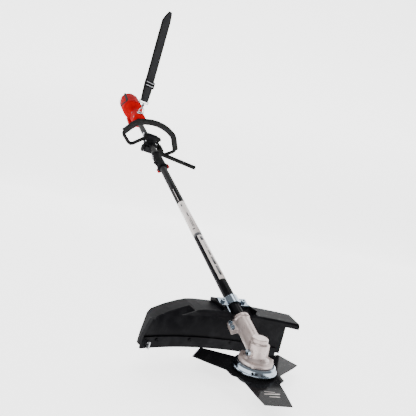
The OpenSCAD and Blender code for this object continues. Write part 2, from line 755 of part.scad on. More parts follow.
// Lower bar of the D handle
module housing_d_bar() {
    difference() {
        seg([d_front[0], 0, d_front[1]], [d_corner[0], 0, d_corner[1]], d_bar_r);
        translate([nose_s + 13, -26, -26.5]) cube([60, 52, 40]);
    }
    difference() {
        seg([d_corner[0], 0, d_corner[1]], [d_back[0], 0, d_back[1]], d_bar_r);
        seg([d_corner[0] + 8, 0, d_corner[1] + 0.6], [1650, 0, -61], d_bar_r - shell_t);
        translate([1600, 0, 0]) bar(barrel_r - shell_t - 0.3, 100);
    }
    translate([d_corner[0], 0, d_corner[1]]) sphere(d_bar_r + 0.1);
}

module housing_cuts() {
    translate([1526, -9, -40]) cube([58, 18, 34]);
    translate([1560, 0, 10]) cylinder(r = 6.3, h = 30);
    translate([trigger_s, -30, trigger_n]) rotate([-90, 0, 0]) cylinder(r = 2, h = 60);
    for (p = housing_screw_places) translate([p[0], -60, p[1]]) rotate([-90, 0, 0]) cylinder(r = 2, h = 120);
    translate([eye_s - 3.05, -3.05, eye_n - 16.05]) cube([6.1, 20.1, 30]);
}

// Screws along the seam: place along the shaft, height, and how far out the head is
housing_screw_places = [[1438, 17, 29.1], [1438, -16, 29.1], [1506, 17, 29.1], [1552, d_corner[1], 13.1]];

module housing_half(side)
    on_shaft(0) difference() {
        union() {
            housing_barrel();
            housing_nose();
            housing_d_bar();
        }
        housing_cuts();
        translate([1400, side > 0 ? -99.95 : -0.05, -200]) cube([500, 100, 400]);
    }

module housing_left() color("#d4111d") housing_half(1);

module housing_right() color("#c50f1a") housing_half(-1);

module housing_screws()
    color("#8f9396") on_shaft(0) for (p = housing_screw_places)
        translate([p[0], p[2], p[1]]) rotate([-90, 0, 0]) screw(2, p[2] + 8.9, 3.4, 2);

module on_barrel_skin(t)
    intersection() {
        translate([barrel_s + 4, 0, 0]) tube(barrel_r + t, barrel_r + 0.02, 150);
        children();
    }

// Dark chevron on each flank of the barrel
module side_bands()
    color("#23292c") on_shaft(0) on_barrel_skin(1.4) for (m = [0, 1]) mirror([0, m, 0])
        rotate([90, 0, 180]) mirror([1, 0, 0]) linear_extrude(80)
            polygon([[1722, 47], [1742, 47], [1716, 4], [1734, -36], [1714, -36], [1694, 4]]);

module badge_panel()
    color("#c8d0d6") on_shaft(0) on_barrel_skin(1.2)
        rotate([90, 0, 180]) mirror([1, 0, 0]) linear_extrude(80)
            polygon([[1752, 20], [1766, 14], [1766, -12], [1756, -20], [1744, -4]]);

module vent_grille()
    color("#101012") on_shaft(0) difference() {
        on_barrel_skin(1.8) translate([1636, -80, 4]) cube([54, 80, 44]);
        for (s = [1642 : 8 : 1684]) translate([s, -80, 9]) cube([4, 80, 34]);
    }

// ---- motor and controls -------------------------------------------------

module motor_stator()
    color("#7b7f83") on_shaft(1656) difference() {
        bar(barrel_r - shell_t - 0.5, 72);
        translate([-1, 0, 0]) bar(29.6, 74);
        for (a = [0, 90, 180, 270]) rotate([a + 45, 0, 0]) translate([-1, -6, 29]) cube([74, 12, 9]);
    }

module motor_armature()
    color("#9a5a34") on_shaft(0) difference() {
        union() {
            translate([1584, 0, 0]) bar(8, 22);
            translate([1605, 0, 0]) bar(4, 176);
            translate([1657, 0, 0]) bar(29, 70);
            translate([1736, 0, 0]) bar(13, 20);
        }
        translate([1580, 0, 0]) bar(drive_r, 16);
        for (a = [0 : 30 : 330]) rotate([a, 0, 0]) translate([1650, -1.2, 24]) cube([84, 2.4, 8]);
    }

module motor_bearings()
    color("#c3c7ca") for (s = [barrel_s - 12, 1764]) on_shaft(s) rotate([0, 90, 0]) bearing(4, 11, 7, 8);

module carbon_brushes()
    color("#3b3b3e") on_shaft(1741) for (m = [0, 1]) mirror([0, 0, m]) translate([0, -4, 13.2]) cube([8, 8, 18]);

module cooling_fan()
    color("#202022") on_shaft(1634) difference() {
        union() {
            bar(9, 12);
            bar(43, 2);
            for (a = [0 : 40 : 320]) rotate([a + 20, 0, 0]) translate([1, -1, 7]) cube([10, 2, 35]);
        }
        translate([-1, 0, 0]) bar(4, 20);
    }

module trigger()
    color("#161617") on_shaft(trigger_s) translate([0, 8, trigger_n]) rotate([90, 0, 0]) difference() {
        linear_extrude(16) {
            circle(5);
            polygon([[0, 5], [-18, 2], [-42, 2], [-45, -6], [-43, -18], [-30, -23], [-14, -20], [2, -4.5]]);
        }
        translate([0, 0, -1]) cylinder(r = 2.05, h = 18);
    }

module trigger_switch()
    color("#2a2d30") {
        on_shaft(1528) translate([0, -7, 5]) cube([22, 14, 10]);
        on_shaft(trigger_s) translate([0, -16, trigger_n]) rotate([-90, 0, 0]) cylinder(r = 2, h = 32);
    }

module lock_off_button()
    color("#121213") on_shaft(1560) translate([0, 0, 16.5]) {
        cylinder(r = 6, h = 9);
        translate([0, 0, 8.9]) cylinder(r1 = 6, r2 = 5, h = 1);
    }

module tube_collar() color("#18181a") on_shaft(nose_s - 8.1) tube(17, tube_r, 8);

module power_inlet()
    color("#1b1b1d") on_shaft(1788) {
        difference() {
            bar(12.9, 7);
            translate([2, 0, 0]) bar(10, 9);
        }
        for (y = [-4.5, 4.5]) translate([1, y, 0]) bar(2, 6);
    }

// ---- sling --------------------------------------------------------------

// Snap hook with the eye plate that it hangs in
module snap_hook()
    color("#cfd4d8") {
        on_shaft(eye_s) translate([-3, 0, eye_n - 6]) {
            translate([0, 0, -8]) cube([6, 14, 8], center = false);
            translate([0, 7, 0]) rotate([0, 90, 0]) ring(10, 5.5, 6);
        }
        on_sling() {
            translate([0, 0, hook_up]) difference() {
                rotate([90, 0, 0]) rotate_extrude() translate([13, 0]) circle(2.6);
                translate([3, -10, -4.5]) cube([30, 20, 12.5]);
            }
            translate([0, 0, 12 + hook_up]) cylinder(r = 4.4, h = 26 - hook_up);
            translate([0, 0, 33]) cylinder(r = 7.5, h = 6);
        }
    }

module hook_gate()
    color("#b9bec2") on_sling() translate([0, 0, hook_up]) seg([12.4, 0, -3.6], [11.4, 0, 7.2], 1.8);

// Webbing doubled between the hook's swivel and the top, with the swivel's loop at its foot
module sling_strap()
    color("#2b2b2d") on_sling(sling_turn) {
        translate([0, 0, 39.3]) cylinder(r = 7.5, h = 5);
        translate([0, 0, 44]) cylinder(r = 3, h = 8);
        translate([-25, 0, 54]) bar(3, 50);
        r = ply_gap / 2;
        for (m = [-1, 1]) translate([-web_w / 2, m * r - web_t / 2, hook_h + r])
            cube([web_w, web_t, sling_l - hook_h - 2 * r - 1]);
        translate([-web_w / 2, 0, sling_l - r - 1.1]) rotate([0, 90, 0]) difference() {
            cylinder(r = r + web_t / 2, h = web_w);
            translate([0, 0, -1]) cylinder(r = r - web_t / 2, h = web_w + 2);
            translate([0, -20, -1]) cube([20, 40, web_w + 2]);
        }
        translate([-web_w / 2, 0, hook_h + r]) rotate([0, 90, 0]) difference() {
            cylinder(r = r + web_t / 2, h = web_w);
            translate([0, 0, -1]) cylinder(r = r - web_t / 2, h = web_w + 2);
            translate([-20, -20, -1]) cube([20, 40, web_w + 2]);
        }
    }

module sling_buckle()
    color("#3a3a3c") on_sling(sling_turn) translate([0, -ply_gap / 2, buckle_z]) difference() {
        translate([-26, -5, -16]) cube([52, 9.5, 32]);
        translate([-web_w / 2 - 0.5, -web_t / 2 - 0.4, -20]) cube([web_w + 1, web_t + 0.8, 40]);
        translate([-web_w / 2 - 0.5, -9, -11]) cube([web_w + 1, 8.5, 7]);
        translate([-web_w / 2 - 0.5, -9, 4]) cube([web_w + 1, 8.5, 7]);
    }

// ---- drawing ------------------------------------------------------------

blade();
blade_adapter();
clamp_washer();
stabiliser_cup();
blade_nut();
output_spindle();
driven_bevel_gear();
spindle_bearings();
spindle_seal();
gear_case();
dust_cover();
cover_screws();
neck_clamp_screws();
grease_plug();
pinion_gear();
pinion_bearings();
lower_tube();
lower_drive_shaft();
lower_shaft_bushes();
guard_bracket_upper();
guard_bracket_lower();
guard_bolts();
guard_shell();
guard_extension();
line_cutter();
extension_screws();
coupler_body();
coupler_screws();
coupler_knob();
coupler_latch();
upper_tube();
upper_drive_shaft();
upper_shaft_bushes();
handle_clamp_upper();
handle_clamp_lower();
handle_screws();
handle_knob();
loop_rod();
loop_grip();
barrier_bar();
housing_left();
housing_right();
housing_screws();
side_bands();
badge_panel();
vent_grille();
motor_stator();
motor_armature();
motor_bearings();
carbon_brushes();
cooling_fan();
trigger();
trigger_switch();
lock_off_button();
tube_collar();
power_inlet();
snap_hook();
hook_gate();
sling_strap();
sling_buckle();
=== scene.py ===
"""Looks of a shaft-driven brush cutter with a shoulder sling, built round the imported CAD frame.

Lengths are in metres, in the row frame. Places come from the frame's joints and the nodes' boxes.
"""

import json
import math

import bmesh
import bpy
from mathutils import Matrix, Vector


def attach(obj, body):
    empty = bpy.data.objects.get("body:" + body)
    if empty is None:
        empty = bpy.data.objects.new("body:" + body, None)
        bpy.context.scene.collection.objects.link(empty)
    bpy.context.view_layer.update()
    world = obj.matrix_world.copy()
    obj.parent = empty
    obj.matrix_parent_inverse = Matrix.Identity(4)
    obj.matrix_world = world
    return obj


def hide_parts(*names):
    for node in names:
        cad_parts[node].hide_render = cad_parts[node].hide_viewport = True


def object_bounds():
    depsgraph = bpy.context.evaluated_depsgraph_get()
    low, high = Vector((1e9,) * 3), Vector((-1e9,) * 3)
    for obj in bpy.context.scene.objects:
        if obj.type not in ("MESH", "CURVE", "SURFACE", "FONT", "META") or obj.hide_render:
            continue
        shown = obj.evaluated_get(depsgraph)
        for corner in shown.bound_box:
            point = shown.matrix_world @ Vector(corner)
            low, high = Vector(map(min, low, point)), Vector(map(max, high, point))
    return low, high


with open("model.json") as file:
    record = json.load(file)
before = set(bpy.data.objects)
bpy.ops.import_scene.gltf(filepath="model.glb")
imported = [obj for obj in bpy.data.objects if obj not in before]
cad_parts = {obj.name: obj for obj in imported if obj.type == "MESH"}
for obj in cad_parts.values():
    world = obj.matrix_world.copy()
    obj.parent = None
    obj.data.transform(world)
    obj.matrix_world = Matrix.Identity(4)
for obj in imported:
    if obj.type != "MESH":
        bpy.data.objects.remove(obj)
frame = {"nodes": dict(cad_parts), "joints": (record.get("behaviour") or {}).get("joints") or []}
CAD_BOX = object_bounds()

MM = 0.001
NODES = frame["nodes"]
JOINTS = {joint["name"]: joint for joint in frame["joints"]}


def joint_point(name):
    return Vector(JOINTS[name]["pos_m"])


def joint_axis(name):
    return Vector(JOINTS[name]["axis"]).normalized()


# ---- places along the shaft and the sling, from the joints ----------------------------------

ALONG = -joint_axis("boom_pull")
RIGHT = Vector((0, 1, 0))
SQUARE = ALONG.cross(RIGHT)
PINION_S = 40
SHAFT_START = joint_point("pinion_spin") - ALONG * PINION_S * MM
BLADE_CENTRE = joint_point("blade_spin")

SLING_UP = joint_axis("sling_turn")
SLING_SWIVEL_Z = 40
SLING_TURN = -81
SLING_EYE = joint_point("sling_turn") - SLING_UP * SLING_SWIVEL_Z * MM


def on_shaft(s, y=0, n=0):
    """Point from its place along the shaft, to the user's right and square to the shaft, in mm."""
    return SHAFT_START + (ALONG * s + RIGHT * y + SQUARE * n) * MM


def on_blade(x, y, z):
    """Point from the middle of the blade, in mm."""
    return BLADE_CENTRE + Vector((x, y, z)) * MM


def sling_axes():
    """Axes of the webbing: across it, through its thickness and up."""
    lean = math.acos(SLING_UP.z)
    heading = math.atan2(SLING_UP.y, SLING_UP.x)
    turn = math.radians(SLING_TURN) - heading
    leaning = Matrix.Rotation(heading, 3, "Z") @ Matrix.Rotation(lean, 3, "Y")
    placed = leaning @ Matrix.Rotation(turn, 3, "Z")
    return placed.col[0], placed.col[1], placed.col[2]


WEB_ACROSS, WEB_THROUGH, WEB_UP = sling_axes()


def on_sling(x, y, z):
    """Point from the hook's eye: across the webbing, through it and up, in mm."""
    return SLING_EYE + (WEB_ACROSS * x + WEB_THROUGH * y + WEB_UP * z) * MM


# ---- materials ------------------------------------------------------------------------------


class Look:
    """A Principled material with helpers that add its procedural detail."""

    def __init__(self, name, colour, rough=0.5, metal=0.0, **sockets):
        self.material = bpy.data.materials.new(name)
        self.material.use_nodes = True
        self.tree = self.material.node_tree
        self.shader = self.tree.nodes["Principled BSDF"]
        self.colour = colour
        self.rough = rough
        self.normal = None
        self.put("Base Color", (*colour, 1))
        self.put("Roughness", rough)
        self.put("Metallic", metal)
        for socket, value in sockets.items():
            self.put(socket.replace("_", " "), value)

    def put(self, socket, value):
        self.shader.inputs[socket].default_value = value

    def node(self, kind, **values):
        made = self.tree.nodes.new(kind)
        for key, value in values.items():
            if hasattr(made, key):
                setattr(made, key, value)
            else:
                made.inputs[key.replace("_", " ")].default_value = value
        return made

    def link(self, out, into):
        self.tree.links.new(out, into)
        return into

    def place(self, stretch):
        """Object coordinates, stretched."""
        coords = self.node("ShaderNodeTexCoord")
        mapping = self.node("ShaderNodeMapping")
        mapping.inputs["Scale"].default_value = stretch
        self.link(coords.outputs["Object"], mapping.inputs["Vector"])
        return mapping.outputs["Vector"]

    def noise(self, scale, detail, stretch=(1, 1, 1)):
        made = self.node("ShaderNodeTexNoise", Scale=scale, Detail=detail)
        self.link(self.place(stretch), made.inputs["Vector"])
        return made.outputs["Fac"]

    def spread(self, factor, low, high, out_low=0.0, out_high=1.0):
        """Maps a factor from low..high to out_low..out_high, clamped."""
        made = self.node("ShaderNodeMapRange")
        ends = {"From Min": low, "From Max": high, "To Min": out_low, "To Max": out_high}
        for socket, value in ends.items():
            made.inputs[socket].default_value = value
        self.link(factor, made.inputs["Value"])
        return made.outputs["Result"]

    def tint(self, factor, other, low=0.35, high=0.65):
        """Mixes another colour in where the factor is high."""
        mix = self.node("ShaderNodeMix", data_type="RGBA")
        source = self.shader.inputs["Base Color"]
        if source.is_linked:
            self.link(source.links[0].from_socket, mix.inputs["A"])
        else:
            mix.inputs["A"].default_value = (*self.colour, 1)
        mix.inputs["B"].default_value = (*other, 1)
        self.link(self.spread(factor, low, high), mix.inputs["Factor"])
        self.link(mix.outputs["Result"], source)
        return self

    def wear(self, factor, amount, low=0.3, high=0.7):
        """Lets the roughness vary about its value."""
        varied = self.spread(factor, low, high, self.rough - amount, self.rough + amount)
        self.link(varied, self.shader.inputs["Roughness"])
        return self

    def bump(self, factor, depth):
        """Adds a bump of that depth in mm."""
        made = self.node("ShaderNodeBump", Distance=depth * MM)
        self.link(factor, made.inputs["Height"])
        if self.normal is not None:
            self.link(self.normal, made.inputs["Normal"])
        self.normal = made.outputs["Normal"]
        self.link(self.normal, self.shader.inputs["Normal"])
        return self

    def groove(self, normal_to, at, half_width):
        """Draws a dark groove in the plane square to an axis, X, Y or Z, at a place in metres."""
        coords = self.node("ShaderNodeTexCoord")
        split = self.node("ShaderNodeSeparateXYZ")
        self.link(coords.outputs["Object"], split.inputs["Vector"])
        off = self.node("ShaderNodeMath", operation="SUBTRACT")
        self.link(split.outputs[normal_to], off.inputs[0])
        off.inputs[1].default_value = at
        away = self.node("ShaderNodeMath", operation="ABSOLUTE")
        self.link(off.outputs[0], away.inputs[0])
        inside = self.spread(away.outputs[0], half_width * MM * 0.6, half_width * MM, 1.0, 0.0)
        self.tint(inside, tuple(c * 0.12 for c in self.colour), 0.2, 0.8)
        self.bump(self.spread(inside, 0, 1, 1.0, 0.0), 0.5)
        return self

    def round_edges(self, radius):
        """Rounds sharp edges in shading, by a radius in mm. It comes before any bump."""
        made = self.node("ShaderNodeBevel", samples=4, Radius=radius * MM)
        self.normal = made.outputs["Normal"]
        self.link(self.normal, self.shader.inputs["Normal"])
        return self


def coated(name, colour, rough, gloss, gloss_rough):
    """Dark base whose gloss is all in a thin coat, so that it stays dark at a grazing angle."""
    return Look(name, colour, rough, Specular_IOR_Level=0.0, Coat_Weight=gloss, Coat_Roughness=gloss_rough)


def moulded(name, colour, rough, gloss=0.15, grain=0.05, edge=0.5):
    """Moulded plastic: fine grain, uneven gloss and rounded edges."""
    look = coated(name, colour, rough, gloss, rough * 0.8)
    look.round_edges(edge)
    paler = tuple(min(1, c * 1.5 + 0.008) for c in colour)
    look.tint(look.noise(38, 5), paler, 0.45, 0.85)
    look.wear(look.noise(55, 4), 0.07)
    look.bump(look.noise(1500, 2), grain)
    return look


def metal(name, colour, rough, scratch=0.01, edge=0.3, stretch=(1, 1, 1), **sockets):
    """Bare or plated metal: fine directional scratches and uneven gloss."""
    look = Look(name, colour, rough, metal=1.0, **sockets).round_edges(edge)
    darker = tuple(c * 0.72 for c in colour)
    look.tint(look.noise(60, 5), darker, 0.5, 0.9)
    look.wear(look.noise(240, 4, stretch), min(0.08, rough * 0.5))
    look.bump(look.noise(900, 3, stretch), scratch)
    return look


def cast_aluminium():
    look = Look("cast_aluminium", (0.46, 0.385, 0.365), 0.34, metal=0.6).round_edges(0.9)
    look.tint(look.noise(45, 6), (0.34, 0.27, 0.255), 0.48, 0.85)
    look.wear(look.noise(120, 4), 0.1)
    look.bump(look.noise(420, 4), 0.06)
    look.bump(look.noise(1600, 2), 0.03)
    return look


def blade_enamel():
    look = coated("blade_enamel", (0.008, 0.008, 0.009), 0.22, 0.22, 0.1)
    look.round_edges(0.25)
    look.tint(look.noise(30, 6), (0.02, 0.02, 0.022), 0.5, 0.9)
    look.wear(look.noise(90, 5), 0.06)
    look.bump(look.noise(260, 3), 0.012)
    return look


def tube_enamel():
    look = coated("tube_enamel", (0.004, 0.004, 0.005), 0.3, 0.14, 0.12)
    look.round_edges(0.25)
    look.tint(look.noise(25, 5), (0.014, 0.014, 0.015), 0.5, 0.9)
    look.wear(look.noise(70, 4), 0.05)
    look.bump(look.noise(1100, 2), 0.012)
    return look


def gloss_red():
    look = coated("gloss_red", (0.36, 0.0, 0.003), 0.3, 0.035, 0.12)
    look.round_edges(1.0)
    look.tint(look.noise(22, 4), (0.24, 0.0, 0.002), 0.4, 0.8)
    look.wear(look.noise(60, 4), 0.05)
    look.bump(look.noise(900, 2), 0.012)
    look.groove("Y", SHAFT_START.y, 0.55)
    return look


def foam():
    look = coated("foam", (0.011, 0.011, 0.011), 0.85, 0.03, 0.6)
    look.tint(look.noise(420, 6), (0.04, 0.04, 0.041), 0.5, 0.72)
    look.bump(look.noise(950, 6), 0.35)
    look.bump(look.noise(160, 3), 0.25)
    return look


def ribs(look, direction, scale, distortion):
    return look.node("ShaderNodeTexWave", wave_type="BANDS", bands_direction=direction,
                     Scale=scale, Distortion=distortion)


def webbing():
    """Black polyester webbing: ribs across the band, colour darker towards both of its edges and a paler
    nap.
    """
    look = coated("webbing", (0.014, 0.014, 0.015), 0.8, 0.03, 0.6)
    uv = look.node("ShaderNodeUVMap")
    mapping = look.node("ShaderNodeMapping")
    look.link(uv.outputs["UV"], mapping.inputs["Vector"])
    across = ribs(look, "Y", 150, 0.4)
    along = ribs(look, "X", 4.6, 0.3)
    for wave in (across, along):
        look.link(mapping.outputs["Vector"], wave.inputs["Vector"])
    look.tint(look.noise(700, 4), (0.045, 0.045, 0.047), 0.42, 0.75)
    # The broad wave across the band makes its colour darker towards both of its edges.
    look.tint(along.outputs["Fac"], (0.006, 0.006, 0.006), 0.2, 0.9)
    look.bump(across.outputs["Fac"], 0.25)
    look.bump(along.outputs["Fac"], 0.3)
    look.bump(look.noise(1700, 3), 0.08)
    return look


def printed_film(name, colour, rough=0.35):
    look = Look(name, colour, rough)
    look.tint(look.noise(80, 4), tuple(c * 0.86 for c in colour), 0.45, 0.8)
    look.wear(look.noise(130, 3), 0.06)
    look.bump(look.noise(600, 2), 0.01)
    return look


LOOKS = {
    "blade": blade_enamel(),
    "zinc": metal("zinc", (0.30, 0.355, 0.415), 0.15, scratch=0.003, edge=0.5),
    "bright": metal("bright_steel", (0.42, 0.43, 0.45), 0.24),
    "dark_steel": metal("dark_steel", (0.17, 0.175, 0.18), 0.3),
    "chrome": metal("chrome", (0.40, 0.41, 0.43), 0.1, scratch=0.004),
    "cast": cast_aluminium(),
    "tube": tube_enamel(),
    "rod": moulded("black_rod", (0.005, 0.005, 0.005), 0.42, 0.1, grain=0.02),
    "plastic": moulded("black_plastic", (0.006, 0.006, 0.007), 0.5, 0.08),
    "guard": moulded("guard_plastic", (0.004, 0.004, 0.005), 0.36, 0.12, grain=0.03, edge=1.0),
    "red": gloss_red(),
    "knob_red": moulded("knob_red", (0.24, 0.0, 0.003), 0.34, 0.08, grain=0.02, edge=0.8),
    "band": moulded("band_plastic", (0.008, 0.011, 0.013), 0.45, 0.1),
    "film": printed_film("pale_film", (0.62, 0.56, 0.54)),
    "ink": printed_film("dark_ink", (0.03, 0.03, 0.035), 0.5),
    "badge": moulded("badge_plastic", (0.62, 0.68, 0.72), 0.25, grain=0.01),
    "bush": moulded("bush_plastic", (0.06, 0.06, 0.065), 0.5),
    "foam": foam(),
    "seal": moulded("seal_rubber", (0.018, 0.018, 0.018), 0.62),
    "gear": metal("gear_steel", (0.28, 0.285, 0.29), 0.36, scratch=0.03),
    "stator": metal("stator_steel", (0.34, 0.345, 0.35), 0.48, scratch=0.03, stretch=(9, 1, 1)),
    "copper": metal("copper_winding", (0.63, 0.28, 0.13), 0.34, scratch=0.05),
    "webbing": webbing(),
}

NODE_LOOKS = {
    "blade": "blade", "blade_adapter": "dark_steel", "clamp_washer": "dark_steel",
    "stabiliser_cup": "bright", "blade_nut": "dark_steel", "output_spindle": "bright",
    "driven_bevel_gear": "gear", "spindle_bearings": "bright", "spindle_seal": "seal",
    "gear_case": "cast", "dust_cover": "zinc", "cover_screws": "bright",
    "neck_clamp_screws": "zinc", "grease_plug": "zinc", "pinion_gear": "gear",
    "pinion_bearings": "bright", "lower_tube": "tube", "lower_drive_shaft": "dark_steel",
    "lower_shaft_bushes": "bush", "guard_bracket_upper": "zinc", "guard_bracket_lower": "zinc",
    "guard_bolts": "zinc", "guard_shell": "guard", "guard_extension": "guard",
    "line_cutter": "bright", "extension_screws": "plastic", "coupler_body": "plastic",
    "coupler_screws": "bright", "coupler_knob": "knob_red", "coupler_latch": "plastic",
    "upper_tube": "tube", "upper_drive_shaft": "dark_steel", "upper_shaft_bushes": "bush",
    "handle_clamp_upper": "plastic", "handle_clamp_lower": "plastic", "handle_screws": "bright",
    "handle_knob": "plastic", "loop_rod": "rod", "loop_grip": "foam", "barrier_bar": "rod",
    "housing_left": "red", "housing_right": "red", "housing_screws": "dark_steel",
    "side_bands": "band", "badge_panel": "badge", "vent_grille": "plastic",
    "motor_stator": "stator", "motor_armature": "copper", "motor_bearings": "bright",
    "carbon_brushes": "dark_steel", "cooling_fan": "plastic", "trigger": "plastic",
    "trigger_switch": "plastic", "lock_off_button": "plastic", "tube_collar": "seal",
    "power_inlet": "plastic", "snap_hook": "chrome", "hook_gate": "chrome",
    "sling_strap": "webbing", "sling_buckle": "plastic",
}


def paint(piece, look):
    piece.data.materials.clear()
    piece.data.materials.append(LOOKS[look].material)


for node_name, look_name in NODE_LOOKS.items():
    paint(NODES[node_name], look_name)

# ---- pieces built here ----------------------------------------------------------------------

WIRE_SIDES = 14
TURNED_SIDES = 48


def new_piece(name, mesh, look, body, *stands_for):
    made = bpy.data.objects.new(name, mesh)
    bpy.context.scene.collection.objects.link(made)
    paint(made, look)
    if stands_for:
        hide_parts(*stands_for)
    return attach(made, body)


def smooth(mesh):
    for face in mesh.polygons:
        face.use_smooth = True


def baked(made):
    """Mesh of an object with its modifiers applied; the object is removed."""
    graph = bpy.context.evaluated_depsgraph_get()
    mesh = bpy.data.meshes.new_from_object(made.evaluated_get(graph))
    bpy.data.objects.remove(made)
    return mesh


def soft_skin(name, nodes, look, body, voxel, rounds, keep):
    """One rounded skin grown round some CAD nodes, as a moulding or a casting has.

    voxel is in mm, rounds is how often it is smoothed, and keep is the share of faces kept.
    """
    grown = bmesh.new()
    for node in nodes:
        grown.from_mesh(NODES[node].data)
    mesh = bpy.data.meshes.new(name)
    grown.to_mesh(mesh)
    grown.free()
    made = bpy.data.objects.new(name, mesh)
    bpy.context.scene.collection.objects.link(made)
    skin = made.modifiers.new("skin", "REMESH")
    skin.mode = "VOXEL"
    skin.voxel_size = voxel * MM
    soft = made.modifiers.new("soft", "SMOOTH")
    soft.factor = 0.5
    soft.iterations = rounds
    thin = made.modifiers.new("thin", "DECIMATE")
    thin.ratio = keep
    mesh = baked(made)
    smooth(mesh)
    return new_piece(name, mesh, look, body, *nodes)


def swept(name, rings, look, body, *stands_for, closed=False, uv_wide=None):
    """Skin over rings of points, capped at both ends unless it is closed.

    uv_wide gives a closed skin its UV map: each ring point's place across it, in mm.
    """
    mesh = bpy.data.meshes.new(name)
    count = len(rings[0])
    faces = []
    for i in range(len(rings) if closed else len(rings) - 1):
        j = (i + 1) % len(rings)
        for k in range(count):
            m = (k + 1) % count
            faces.append((i * count + k, i * count + m, j * count + m, j * count + k))
    if not closed:
        faces.append(tuple(range(count - 1, -1, -1)))
        faces.append(tuple((len(rings) - 1) * count + k for k in range(count)))
    mesh.from_pydata([point for ring in rings for point in ring], [], faces)
    if uv_wide:
        layer = mesh.uv_layers.new(name="UVMap")
        along = [0.0]
        for a, b in zip(rings, rings[1:] + rings[:1]):
            along.append(along[-1] + (b[0] - a[0]).length)
        for index, face in enumerate(mesh.polygons):
            last = index // count == len(rings) - 1
            for loop in face.loop_indices:
                vertex = mesh.loops[loop].vertex_index
                ring = vertex // count
                far = len(rings) if last and ring == 0 else ring
                layer.data[loop].uv = (uv_wide[vertex % count] * MM, along[far])
    smooth(mesh)
    return new_piece(name, mesh, look, body, *stands_for)


def full_turn(sides):
    return [2 * math.pi * k / sides for k in range(sides)]


def wire(name, points, radius, look, body, closed=False):
    """Round wire through points; its radius is in mm."""
    rings = []
    count = len(points)
    side = None
    for i, point in enumerate(points):
        before = points[(i - 1) % count] if closed or i else point
        after = points[(i + 1) % count] if closed or i < count - 1 else point
        ahead = (after - before).normalized()
        if side is None:
            side = ahead.orthogonal().normalized()
        side = (side - ahead * side.dot(ahead)).normalized()
        other = ahead.cross(side)
        rings.append([
            point + (side * math.cos(t) + other * math.sin(t)) * radius * MM
            for t in full_turn(WIRE_SIDES)
        ])
    return swept(name, rings, look, body, closed=closed)


def rounded(corners, radius, steps=5):
    """Closed outline through corners, each cut back by the radius in mm and rounded with a curve."""
    out = []
    for i, corner in enumerate(corners):
        into = (corners[i - 1] - corner).normalized() * radius * MM
        away = (corners[(i + 1) % len(corners)] - corner).normalized() * radius * MM
        for k in range(steps + 1):
            t = k / steps
            out.append(corner + into * (1 - t) ** 2 + away * t ** 2)
    return out


def turned(name, profile, start, axis, look, body):
    """Skin turned about an axis: profile is [[along, radius], ...] in mm from the start point."""
    side = axis.orthogonal().normalized()
    other = axis.cross(side)
    rings = []
    for along, radius in profile:
        rings.append([
            start + (axis * along + (side * math.cos(t) + other * math.sin(t)) * radius) * MM
            for t in full_turn(TURNED_SIDES)
        ])
    return swept(name, rings, look, body)


# ---- sling: one band of webbing, doubled, on a wire loop ------------------------------------

WEB_WIDE = 40
WEB_THICK = 2.2
PLY_HALF = 8    # half the gap between the two plies
TOP_HALF = 2.2    # the same at the folded top
WEB_FOOT = 57    # where the band turns round the wire loop
SLING_LONG = SLING_EYE.length / MM
TOP_ROOM = 3.4    # the fold's middle line stays this far under the sling's top
EDGE = 0.8    # rounding of the band's edges
RIB = 1.02    # the band swells a little between its edges
RISE_STEPS = 60


def share(value, low, high):
    """Place of a value between two others, kept within 0 and 1."""
    return max(0.0, min(1.0, (value - low) / (high - low)))


def ply_off(z, side):
    """How far a ply stands from the middle of the sling: it bulges below the pinched top."""
    below = share(SLING_LONG - z, 0, 75)
    off = TOP_HALF + (PLY_HALF - TOP_HALF) * below ** 0.6 + 2.0 * math.sin(math.pi * below)
    if side > 0:
        off += 0.9 * math.sin(z / 47) * math.sin(math.pi * share(z, 80, 440))
    return side * off


def band_edges(z):
    """Middle and half width of the band at a height: gathered at the top and at the foot."""
    pinch = 1 - share(SLING_LONG - z, 0, 55)
    foot = 1 - share(z, 60, 105)
    return 9 * pinch ** 1.4, WEB_WIDE / 2 * (1 - 0.62 * pinch ** 1.3) * (1 - 0.16 * foot)


def webbing_line():
    """Closed middle line of the band in the sling's own frame: (through, up), in mm."""
    foot = WEB_FOOT + PLY_HALF
    top = SLING_LONG - TOP_ROOM
    under = [math.pi * (1 + k / 10) for k in range(11)]
    over = [math.pi * k / 6 for k in range(1, 6)]
    rise = [foot + (top - foot) * k / RISE_STEPS for k in range(1, RISE_STEPS + 1)]
    line = [(PLY_HALF * math.cos(a), foot + PLY_HALF * math.sin(a)) for a in under]
    line += [(ply_off(z, 1), z) for z in rise]
    line += [(TOP_HALF * math.cos(a), top + TOP_HALF * math.sin(a)) for a in over]
    line += [(ply_off(z, -1), z) for z in reversed(rise)]
    return line


def sling():
    """The band of webbing, swept along its middle line."""
    across = WEB_WIDE / 2
    thick = WEB_THICK / 2
    underside = [
        (-across, -thick * 0.5),
        (-across + EDGE, -thick),
        (-across * 0.5, -thick * RIB),
        (0, -thick),
        (across * 0.5, -thick * RIB),
        (across - EDGE, -thick),
        (across, -thick * 0.5),
    ]
    section = underside + [(-x, -t) for x, t in underside]
    line = webbing_line()
    rings = []
    for i, (through, up) in enumerate(line):
        before = line[i - 1]
        after = line[(i + 1) % len(line)]
        ahead = Vector((after[0] - before[0], after[1] - before[1])).normalized()
        out = Vector((-ahead.y, ahead.x))
        middle, half = band_edges(up)
        rings.append([on_sling(middle + x * half / across, through + out.x * t, up + out.y * t)
                      for x, t in section])
    band = swept("sling_band", rings, "webbing", "sling", "sling_strap", closed=True,
                 uv_wide=[x for x, t in section])


